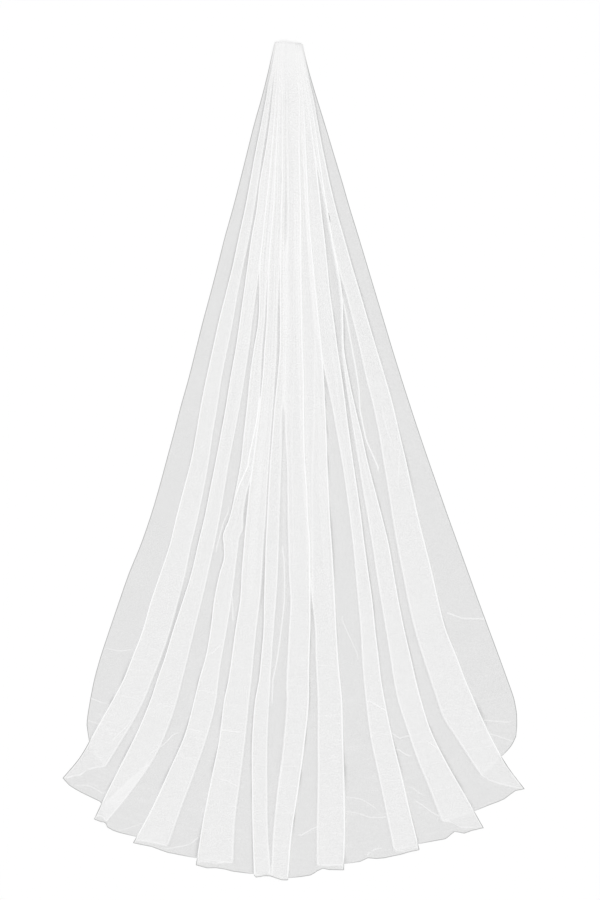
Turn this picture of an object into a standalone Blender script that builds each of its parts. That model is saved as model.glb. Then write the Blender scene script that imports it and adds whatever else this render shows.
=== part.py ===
# A long tulle veil laid flat on a surface, face up. Its gathered end lies towards +Y over a hair comb, its hem
# towards -Y. One sheet of tulle is folded into ten knife pleats that fan out from the comb to the hem.
# Tables are in centimetres: x runs across the veil from its middle line, down runs from the gathered end.
import bmesh
import bpy
import numpy as np

for item in list(bpy.data.objects):
    bpy.data.objects.remove(item)

cm = 0.01
mm = 0.001

# sheet and comb sizes
wall = 1.0 * mm
layer_gap = 0.4 * mm
piece_gap = 0.35 * mm
steepest = 0.45
comb_middle_x = -1.8 * cm
comb_start = 0.4 * cm
comb_length = 8.8 * cm
comb_spine = 0.5 * cm
comb_thickness = 2.0 * mm
tooth_count = 20
tooth_length = 3.6 * cm
tooth_root = 2.4 * mm
tooth_tip = 1.2 * mm

# Each row below is a line that runs the whole length of the veil: a side edge or the fold of a pleat. Pleats are
# numbered from the left. Pleats 1 to 5 turn over at their left fold, pleats 6 to 10 at their right fold.
# Columns: line, down at its tip, then x at each of the stations, then x at the four quarters between the last
# station and the tip.
stations = (0, 6, 12, 20, 40, 60, 80, 100, 120, 140, 160, 180, 200, 220, 235)
lines = (
    ("left side", 244.2, -6.7, -8, -9.5, -11.5, -16.8, -21.9, -27.2, -32.5, -37.5, -42.9, -48.3, -54.8, -62.4,
     -69.1, -72.7, -73.1, -73.5, -73.8, -74),
    ("1 right", 258.9, -5, -6, -7.1, -8.6, -11.8, -14.7, -18.1, -21.8, -25.8, -29, -32.2, -36.7, -41.3, -47.4,
     -53.4, -56.3, -59.8, -63.4, -67.1),
    ("1 left", 263.2, -6.1, -6.9, -8.1, -9.7, -13.5, -17.4, -21.8, -26.8, -31.2, -34.9, -39.4, -44.4, -51.1,
     -57.7, -64.6, -68.6, -72.5, -76.7, -82.6),
    ("2 right", 278.9, -4.5, -5, -5.5, -6.1, -7.6, -9.6, -12.2, -14.9, -17.6, -21.2, -24.8, -28.5, -33, -37.9,
     -41.6, -45.3, -50.4, -58.2, -67.1),
    ("2 left", 277.9, -5.8, -6.3, -6.6, -7.6, -10.3, -13.3, -16.5, -19.3, -22.6, -26, -29.9, -34.3, -39.7, -46,
     -51.1, -55.5, -60.8, -66.2, -71.4),
    ("3 right", 287.5, -4, -4.3, -4.5, -4.8, -5.6, -7, -8.9, -11.1, -12.7, -14.6, -17.2, -20.2, -23, -25.8,
     -27.7, -31, -35.5, -40.4, -44.9),
    ("3 left", 286.4, -5.3, -5.6, -5.9, -6.6, -8.2, -10.2, -12.3, -12.7, -15.7, -17.8, -20.7, -25, -28.5, -31.5,
     -35.5, -39, -44.6, -50.5, -57.4),
    ("4 right", 293.6, -3.6, -3.7, -3.7, -3.8, -3.9, -4.2, -5, -5.9, -6.8, -8.6, -10.3, -11.8, -13, -14.8, -15.9,
     -17.4, -19.2, -21, -21.7),
    ("4 left", 294.3, -4.9, -5.1, -5.2, -5.5, -6.5, -7.5, -9, -9.7, -11.1, -13.3, -15.9, -17.8, -19.2, -22.1,
     -24.8, -26.7, -29.7, -32.6, -34.9),
    ("5 right", 297.9, -3.2, -3.2, -3.2, -3.3, -3.5, -3.6, -3.2, -3.2, -3.6, -4.7, -5.3, -6, -6.7, -8, -8.8, -9.5,
     -9.5, -9.3, -8.3),
    ("5 left", 297.9, -4.4, -4.4, -4.4, -4.3, -4.3, -4.6, -4.9, -4.9, -5.8, -7.6, -9, -10, -10.6, -11.6, -13.7,
     -14.9, -14.9, -14.7, -14.2),
    ("6 right", 299.7, 0.7, 1.2, 1.8, 2.3, 2.2, 2.7, 2.8, 3.1, 3.7, 3.8, 4.8, 5.9, 6, 5.6, 5.5, 3.9, 1.7, -0.7,
     -2),
    ("6 left", 298.2, -2.4, -2.4, -2.4, -2.4, -2.3, -2.1, -2.7, -2.7, -3.1, -2.9, -2.1, -1.7, -1, -2, -2.4, -3.6,
     -5.5, -7.1, -7.9),
    ("7 right", 296.1, 1.2, 2, 2.8, 3.6, 4.5, 5.5, 7.1, 9.1, 10.8, 11.8, 12.5, 13.7, 14.8, 15.9, 17.3, 17.7, 18.2,
     18.4, 18),
    ("7 left", 294.3, -1.6, -1.3, -1, -0.6, -0.3, 0.2, 0.7, 0.9, 1.7, 2.5, 3.5, 4.9, 6.7, 8, 8.7, 8.7, 8.7, 8.4,
     8.4),
    ("8 right", 288.9, 1.8, 2.8, 3.7, 4.9, 7.7, 9.9, 12.1, 14.5, 17.3, 19.9, 22.8, 25.4, 28.2, 30.4, 32.5, 35.3,
     38.6, 41.7, 45),
    ("8 left", 288.9, -0.9, -0.3, 0.5, 1.5, 3.1, 4.3, 5.7, 7.4, 11.7, 15.6, 18.9, 21.4, 23.2, 24.6, 25.9, 27.6,
     30.4, 33.2, 35.9),
    ("9 right", 281.1, 2.3, 3.4, 4.5, 6.1, 9.2, 12.2, 15.8, 17.8, 19.8, 24.3, 29.1, 34.1, 37.6, 41.9, 45.5, 49.2,
     54.9, 61.5, 68),
    ("9 left", 278.6, 0, 0.9, 2, 3.4, 7.4, 11.4, 15, 17, 18.5, 21.6, 24.9, 28.3, 31.4, 34.7, 37.3, 40.8, 44.5,
     48.9, 53),
    ("10 right", 267.1, 2.6, 3.8, 5.2, 7.1, 10.8, 15.3, 20.9, 26.8, 32.8, 37.9, 42.4, 47.1, 51.8, 58.4, 64.4, 68,
     71.9, 76.6, 82.6),
    ("10 left", 262.1, 0.9, 2, 3.2, 5, 8.4, 11.8, 15.8, 21.4, 26, 30.6, 33.9, 37.1, 41, 46.3, 51.2, 54.2, 58.5,
     62.9, 67),
    ("right side", 245, 3.2, 4.4, 6, 8.3, 14.4, 20.3, 26.4, 32.4, 38.5, 45, 51.9, 59, 66.2, 73.6, 78.9, 79.4,
     79.8, 79.9, 79.9),
)

# How far the hem of a strip bows out from the straight line between the tips of its two edges.
# Columns: strip, bow at one quarter, at the middle and at three quarters of its width. Strips lie between
# neighbouring rows of the table above and are counted from 0.
hem_bows = (
    (0, 1.2, 1.8, 1.1),
    (1, 0.5, -0.1, -0.4),
    (2, -0.3, -2.1, -3.3),
    (4, 1.0, 1.1, 0.5),
    (6, 0.4, 0.9, 0.6),
    (8, 0.5, 0.5, 0.5),
    (10, -0.1, -0.4, 0.1),
    (12, 1.2, 1.0, -0.9),
    (14, 1.0, 0.2, 0.8),
    (16, 0.0, 0.5, -0.3),
    (17, -0.5, -1.0, -0.1),
    (18, 0.6, 0.9, 0.7),
    (19, -0.4, -0.7, -0.9),
    (20, 1.1, 2.0, 2.3),
)

# where the sheet has its cross rows: down to the last station, then as parts of what is left to each tip
rows_down = (0, 1.5, 3, 4.5, 7, 10, 14, 20, 28, 38, 50, 62, 75, 88, 100, 113, 126, 140, 153, 166, 180, 194, 208,
             222, 235)
rows_tail = (0.25, 0.5, 0.75, 1.0)

strip_total = len(lines) - 1
middle_strip = strip_total // 2
row_total = len(rows_down) + len(rows_tail)
middle_down = max(line[1] for line in lines) * cm / 2


def line_path(line):
    tip = line[1]
    tail = [stations[-1] + part * (tip - stations[-1]) for part in (0.25, 0.5, 0.75, 1.0)]
    known_down = np.array(list(stations) + tail)
    known_x = np.array(line[2:])
    down = np.array(list(rows_down) + [stations[-1] + part * (tip - stations[-1]) for part in rows_tail])
    return np.interp(down, known_down, known_x) * cm, down * cm


paths = [line_path(line) for line in lines]


def column_places(strip):
    # Places of the strip's columns as parts of its width, one set for each row. A strip that runs over the pleat
    # beside it has a column just past that pleat's fold and one where it is down again.
    start = paths[strip][0]
    end = paths[strip + 1][0]
    width = np.abs(end - start)
    if strip % 2 == 1:
        return np.outer(np.ones(row_total), (0, 0.5, 1))
    if strip in (0, strip_total - 1):
        return np.outer(np.ones(row_total), (0, 0.35, 0.7, 1))

    def past_fold(near, far, fold):
        side = np.sign(far - near)
        over = np.clip((side * (fold - near) + 6 * mm) / width, 0.15, 0.6)
        down_again = over + np.minimum(14 * mm / width, 0.35 * (1 - over))
        return over, down_again

    if strip < middle_strip:
        over, settled = past_fold(start, end, paths[strip - 1][0])
        places = (0 * over, 0.5 * over, over, settled, 0.5 * (settled + 1), 0 * over + 1)
    elif strip > middle_strip:
        over, settled = past_fold(end, start, paths[strip + 2][0])
        places = (0 * over, 0.5 * (1 - settled), 1 - settled, 1 - over, 1 - 0.5 * over, 0 * over + 1)
    else:
        over_left, settled_left = past_fold(start, end, paths[strip - 1][0])
        over_right, settled_right = past_fold(end, start, paths[strip + 2][0])
        over_left = np.minimum(over_left, 0.42)
        settled_left = np.minimum(settled_left, 0.46)
        over_right = np.minimum(over_right, 0.42)
        settled_right = np.minimum(settled_right, 0.46)
        places = (0 * over_left, 0.5 * over_left, over_left, settled_left,
                  1 - settled_right, 1 - over_right, 1 - 0.5 * over_right, 0 * over_left + 1)
    return np.stack(places, axis=1)


def strip_plan(strip):
    places = column_places(strip)
    start_x, start_down = paths[strip]
    end_x, end_down = paths[strip + 1]
    across = start_x[:, None] + places * (end_x - start_x)[:, None]
    down = start_down[:, None] + places * (end_down - start_down)[:, None]
    for row in hem_bows:
        if row[0] == strip:
            tail_part = np.array([0.0] * len(rows_down) + list(rows_tail))
            bow = np.interp(places, (0, 0.25, 0.5, 0.75, 1), (0, *row[1:], 0)) * cm * tail_part[:, None] ** 2
            length = np.hypot(end_x - start_x, end_down - start_down)[:, None]
            across = across - bow * (end_down - start_down)[:, None] / length
            down = down + bow * (end_x - start_x)[:, None] / length
    return across, down


# The ground is the height that the next strip has to clear, kept on a grid of small cells.
cell = 2.5 * mm
ground_left = -0.86
ground_top = -0.03
ground = np.zeros((int(3.08 / cell), int(1.72 / cell)))
comb_rows = slice(int((comb_start - 4 * mm - ground_top) / cell),
                  int((comb_start + comb_spine + tooth_length + 4 * mm - ground_top) / cell))
comb_columns = slice(int((comb_middle_x - comb_length / 2 - 4 * mm - ground_left) / cell),
                     int((comb_middle_x + comb_length / 2 + 4 * mm - ground_left) / cell))
ground[comb_rows, comb_columns] = comb_thickness + piece_gap
fine_rows = np.linspace(0, 1, 61)
fine_columns = np.linspace(0, 1, 21)


def spread(table):
    first = table[:-1, :-1, None, None]
    beside = table[:-1, 1:, None, None]
    below = table[1:, :-1, None, None]
    last = table[1:, 1:, None, None]
    u = fine_rows[:, None]
    v = fine_columns[None, :]
    return first * (1 - u) * (1 - v) + beside * (1 - u) * v + below * u * (1 - v) + last * u * v


def spread_highest(table):
    # the higher of the two ways in which a four-sided face can be cut into triangles
    first = table[:-1, :-1, None, None]
    beside = table[:-1, 1:, None, None]
    below = table[1:, :-1, None, None]
    last = table[1:, 1:, None, None]
    u = fine_rows[:, None]
    v = fine_columns[None, :]
    near = first + (beside - first) * v + (below - first) * u
    far = last + (below - last) * (1 - v) + (beside - last) * (1 - u)
    one = np.where(u + v < 1, near, far)
    right = first + (beside - first) * v + (last - beside) * u
    lower = first + (below - first) * u + (last - below) * v
    return np.maximum(one, np.where(v > u, right, lower))


def ease(height, across, down):
    # the sheet comes down no steeper than this, so that its wall keeps its thickness
    step = np.hypot(np.diff(across, axis=1), np.diff(down, axis=1)) * steepest
    stride = np.hypot(np.diff(across, axis=0), np.diff(down, axis=0)) * steepest
    for again in range(2):
        for column in range(1, height.shape[1]):
            height[:, column] = np.maximum(height[:, column], height[:, column - 1] - step[:, column - 1])
        for column in range(height.shape[1] - 2, -1, -1):
            height[:, column] = np.maximum(height[:, column], height[:, column + 1] - step[:, column])
        for row in range(1, height.shape[0]):
            height[row] = np.maximum(height[row], height[row - 1] - stride[row - 1])
        for row in range(height.shape[0] - 2, -1, -1):
            height[row] = np.maximum(height[row], height[row + 1] - stride[row])


def lay(across, down):
    column = np.rint((spread(across) - ground_left) / cell).astype(int)
    row = np.rint((spread(down) - ground_top) / cell).astype(int)
    face_height = ground[row, column].max(axis=(2, 3))
    height = np.zeros(across.shape)
    height[:-1, :-1] = face_height
    height[:-1, 1:] = np.maximum(height[:-1, 1:], face_height)
    height[1:, :-1] = np.maximum(height[1:, :-1], face_height)
    height[1:, 1:] = np.maximum(height[1:, 1:], face_height)
    ease(height, across, down)
    covered = np.zeros(ground.shape)
    np.maximum.at(covered, (row, column), spread_highest(height) + wall + layer_gap)
    wide = covered.copy()
    for shift in (-1, 1):
        wide = np.maximum(wide, np.roll(covered, shift, axis=1))
    tall = wide.copy()
    for shift in (-1, 1):
        tall = np.maximum(tall, np.roll(wide, shift, axis=0))
    np.maximum(ground, tall, out=ground)
    return height


plans = [strip_plan(strip) for strip in range(strip_total)]
heights = {}
laying_order = list(range(middle_strip)) + list(range(strip_total - 1, middle_strip, -1)) + [middle_strip]
for strip in laying_order:
    heights[strip] = lay(*plans[strip])

# The sheet has two faces. The first is the underside on even strips and the upper side on odd strips.
def inward(fold):
    # from a fold towards the middle of the two strips that meet in it
    total = 0
    for strip, column, inner in ((fold - 1, -1, -2), (fold, 0, 1)):
        across, down = plans[strip]
        step = np.stack((across[:, inner] - across[:, column], down[:, inner] - down[:, column]))
        total = total + step / np.hypot(*step)
    return total / np.hypot(*total) * wall


first_face = []
second_face = []
for strip in range(strip_total):
    across, down = plans[strip]
    low = heights[strip]
    high = low + wall
    for face, levels in ((0, low if strip % 2 == 0 else high), (1, high if strip % 2 == 0 else low)):
        x = across.copy()
        d = down.copy()
        for column, fold in ((0, strip), (-1, strip + 1)):
            if fold in (0, strip_total):
                continue
            # the face that goes round the outside of this fold
            outside = 0 if (fold % 2 == 1) == (fold <= middle_strip) else 1
            if face != outside:
                step = inward(fold)
                x[:, column] += step[0]
                d[:, column] += step[1]
        for column in range(x.shape[1]):
            points = np.stack((x[:, column], middle_down - d[:, column], levels[:, column]), axis=1)
            (first_face if face == 0 else second_face).append(points)

panel_mesh = bpy.data.meshes.new("panel")
sheet = bmesh.new()
first = [[sheet.verts.new(point) for point in column] for column in first_face]
second = [[sheet.verts.new(point) for point in column] for column in second_face]
last_row = row_total - 1
for left in range(len(first) - 1):
    right = left + 1
    for row in range(last_row):
        sheet.faces.new((first[left][row], first[right][row], first[right][row + 1], first[left][row + 1]))
        sheet.faces.new((second[left][row], second[left][row + 1], second[right][row + 1], second[right][row]))
    sheet.faces.new((first[right][0], first[left][0], second[left][0], second[right][0]))
    sheet.faces.new((first[left][last_row], first[right][last_row], second[right][last_row], second[left][last_row]))
for row in range(last_row):
    sheet.faces.new((first[0][row], first[0][row + 1], second[0][row + 1], second[0][row]))
    sheet.faces.new((first[-1][row + 1], first[-1][row], second[-1][row], second[-1][row + 1]))
sheet.to_mesh(panel_mesh)
sheet.free()
panel = bpy.data.objects.new("panel", panel_mesh)
bpy.context.scene.collection.objects.link(panel)

# The comb is one flat outline, drawn round the spine and every tooth, and given its thickness.
comb_left = comb_middle_x - comb_length / 2
comb_right = comb_middle_x + comb_length / 2
spine_end = comb_start + comb_spine
tooth_pitch = (comb_length - tooth_root) / (tooth_count - 1)
outline = [(comb_right, comb_start), (comb_left, comb_start)]
for tooth in range(tooth_count):
    root = comb_left + tooth * tooth_pitch
    middle = root + tooth_root / 2
    outline.append((root, spine_end))
    outline.append((middle - tooth_tip / 2, spine_end + tooth_length - tooth_tip / 2))
    outline.append((middle - tooth_tip / 4, spine_end + tooth_length))
    outline.append((middle + tooth_tip / 4, spine_end + tooth_length))
    outline.append((middle + tooth_tip / 2, spine_end + tooth_length - tooth_tip / 2))
    outline.append((root + tooth_root, spine_end))
comb_mesh = bpy.data.meshes.new("comb")
bar = bmesh.new()
under = [bar.verts.new((x, middle_down - down, 0)) for x, down in outline]
over = [bar.verts.new((x, middle_down - down, comb_thickness)) for x, down in outline]
bar.faces.new(list(reversed(under)))
bar.faces.new(over)
for index in range(len(outline)):
    after = (index + 1) % len(outline)
    bar.faces.new((under[index], under[after], over[after], over[index]))
bar.to_mesh(comb_mesh)
bar.free()
comb = bpy.data.objects.new("comb", comb_mesh)
bpy.context.scene.collection.objects.link(comb)


def finish(item, name, color, roughness):
    material = bpy.data.materials.new(name)
    material.use_nodes = True
    surface = material.node_tree.nodes["Principled BSDF"]
    surface.inputs["Base Color"].default_value = (*color, 1)
    surface.inputs["Roughness"].default_value = roughness
    item.data.materials.append(material)


finish(panel, "tulle", (0.93, 0.93, 0.93), 0.75)
finish(comb, "clear plastic", (0.86, 0.87, 0.88), 0.25)
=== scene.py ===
import bpy
import numpy as np
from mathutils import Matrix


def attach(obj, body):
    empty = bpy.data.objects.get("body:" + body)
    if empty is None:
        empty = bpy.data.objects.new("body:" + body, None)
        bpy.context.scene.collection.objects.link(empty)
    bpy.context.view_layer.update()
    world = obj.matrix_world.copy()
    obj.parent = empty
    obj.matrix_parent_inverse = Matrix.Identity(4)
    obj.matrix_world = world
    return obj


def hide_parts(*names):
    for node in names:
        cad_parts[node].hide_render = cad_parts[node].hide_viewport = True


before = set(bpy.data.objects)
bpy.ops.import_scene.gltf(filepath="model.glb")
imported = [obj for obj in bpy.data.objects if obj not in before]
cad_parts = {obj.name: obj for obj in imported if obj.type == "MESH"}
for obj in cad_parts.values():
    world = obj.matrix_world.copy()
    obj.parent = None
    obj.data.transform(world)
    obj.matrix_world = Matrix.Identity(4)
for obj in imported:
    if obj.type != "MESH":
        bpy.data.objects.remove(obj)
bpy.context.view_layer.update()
scene = bpy.context.scene
cm = 0.01
mm = 0.001
print("frame: loaded", sorted(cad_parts))


def newObject(name, data):
    made = bpy.data.objects.new(name, data)
    scene.collection.objects.link(made)
    return made


# the camera looks straight down, and its view is as high as the photograph's frame at the floor
cameraPlace = {"across": 0.0229, "along": 0.0395, "height": 9.0, "viewHeight": 3.2184, "sensor": 36.0}
cameraData = bpy.data.cameras.new("camera")
cameraData.sensor_fit = "VERTICAL"
cameraData.sensor_height = cameraPlace["sensor"]
cameraData.lens = cameraPlace["sensor"] * cameraPlace["height"] / cameraPlace["viewHeight"]
camera = newObject("camera", cameraData)
camera.location = (cameraPlace["across"], cameraPlace["along"], cameraPlace["height"])
scene.camera = camera
print("camera: set")

# soft studio light: a wide overhead light and an even pale surround
studio = {
    "surround": 0.62, "overhead": 1.35, "overheadSpread": 1.2, "overheadTurn": (0.12, 0.1, 0),
    "floorColor": 0.96, "floorSide": 40.0,
    "layersSeen": 64,  # one line of sight can meet more than twenty layers of tulle
}
scene.view_settings.view_transform = "Standard"
scene.view_settings.look = "None"
scene.cycles.transparent_max_bounces = studio["layersSeen"]
world = bpy.data.worlds.new("surround")
world.use_nodes = True
world.node_tree.nodes["Background"].inputs["Color"].default_value = (1, 1, 1, 1)
world.node_tree.nodes["Background"].inputs["Strength"].default_value = studio["surround"]
scene.world = world
lampData = bpy.data.lights.new("overhead", "SUN")
lampData.energy = studio["overhead"]
lampData.angle = studio["overheadSpread"]
newObject("overhead", lampData).rotation_euler = studio["overheadTurn"]


class Bench:
    # adds nodes to a tree and joins them
    def __init__(self, tree):
        self.tree = tree

    def feed(self, socket, value):
        if isinstance(value, bpy.types.NodeSocket):
            self.tree.links.new(value, socket)
        else:
            socket.default_value = value

    def node(self, kind, inputs=None, **settings):
        # inputs are given by name or by number
        made = self.tree.nodes.new(kind)
        for key, value in settings.items():
            setattr(made, key, value)
        for key, value in (inputs or {}).items():
            self.feed(made.inputs[key], value)
        return made

    def math(self, operation, first, second=0.0):
        return self.node("ShaderNodeMath", {0: first, 1: second}, operation=operation).outputs[0]

    def times(self, first, *others):
        for other in others:
            first = self.math("MULTIPLY", first, other)
        return first

    def most(self, first, *others):
        for other in others:
            first = self.math("MAXIMUM", first, other)
        return first

    def ramp(self, value, low, high, toLow=0.0, toHigh=1.0):
        inputs = {"Value": value, "From Min": low, "From Max": high, "To Min": toLow, "To Max": toHigh}
        return self.node("ShaderNodeMapRange", inputs, interpolation_type="SMOOTHSTEP").outputs["Result"]

    def blend(self, factor, first, second):
        return self.node("ShaderNodeMix", {0: factor, 2: first, 3: second}, data_type="FLOAT").outputs[0]

    def gray(self, value):
        return self.node("ShaderNodeCombineColor", {0: value, 1: value, 2: value}).outputs[0]

    def place(self, x, y, z):
        return self.node("ShaderNodeCombineXYZ", {0: x, 1: y, 2: z}).outputs[0]

    def mark(self, name):
        return self.node("ShaderNodeAttribute", attribute_name=name, attribute_type="GEOMETRY").outputs["Fac"]

    def noise(self, place, scale, detail=2.0, stretch=(1, 1, 1), shift=(0, 0, 0)):
        mapping = self.node("ShaderNodeMapping", {"Vector": place, "Scale": stretch, "Location": shift})
        inputs = {"Vector": mapping.outputs["Vector"], "Scale": scale, "Detail": detail}
        return self.node("ShaderNodeTexNoise", inputs).outputs["Fac"]

    def uneven(self, place, scale, detail, low, high):
        # a value that wanders between low and high over a surface
        return self.ramp(self.noise(place, scale, detail), 0.3, 0.7, low, high)


def newMaterial(name, kind):
    # a material with one shader, and the bench for its tree
    material = bpy.data.materials.new(name)
    material.use_nodes = True
    material.node_tree.nodes.clear()
    bench = Bench(material.node_tree)
    shader = bench.node("ShaderNodeBsdf" + kind)
    bench.node("ShaderNodeOutputMaterial", {"Surface": shader.outputs[0]})
    return material, bench, shader


def newTree(name, kind, sockets):
    # a node group with its named sockets, and the bench for it
    tree = bpy.data.node_groups.new(name, kind)
    for label, way, value in sockets:
        tree.interface.new_socket(label, in_out=way, socket_type="NodeSocket" + value)
    return tree, Bench(tree)


half = studio["floorSide"] / 2
floorMesh = bpy.data.meshes.new("floor")
floorMesh.from_pydata([(-half, -half, 0), (half, -half, 0), (half, half, 0), (-half, half, 0)], [],
                      [(0, 1, 2, 3)])
floor = newObject("floor", floorMesh)
floorMaterial, bench, shader = newMaterial("pale floor", "Diffuse")
shader.inputs["Color"].default_value = (*[studio["floorColor"]] * 3, 1)
floorMesh.materials.append(floorMaterial)
print("floor and light: set")

# the tulle sheet
veil = {
    "wall": 1.0 * mm,  # thickness of the solid that the sheet stands for
    "pitch": 1.4 * mm,  # one layer to the next
    "steepest": 0.45,  # the steepest that the sheet comes down off a layer
    "rowStep": 1.5,  # cm between cross rows
    "tailRows": 58,  # cross rows between the last station and the hem
    "tailPower": 1.25,  # above 1 they are closer together at the hem
    "foldSteps": 3,  # points round the bend of a fold
    "foldReach": 1.2 * mm,  # how far the bend of a fold reaches in
    "topFade": 6 * cm,  # how far down the uneven gathered end has evened out
    "clearMost": 12 * mm,  # distances to folds and hems count up to here
    # the rim is a painted shade line along an edge
    "rimLook": 8 * mm,  # an edge shows as a rim if the floor is bare this far outside it
    "hemMost": 15 * cm,  # how far up from the hem its distance is kept
    "flatWidth": 4.09,
    "flatLength": 3.0,
    "flatArea": 5.86,
    "combUnder": (0.4, 4.9, -6.6, 3.0, 2.75 * mm),  # down from, down to, x from, x to, height to clear
}

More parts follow.
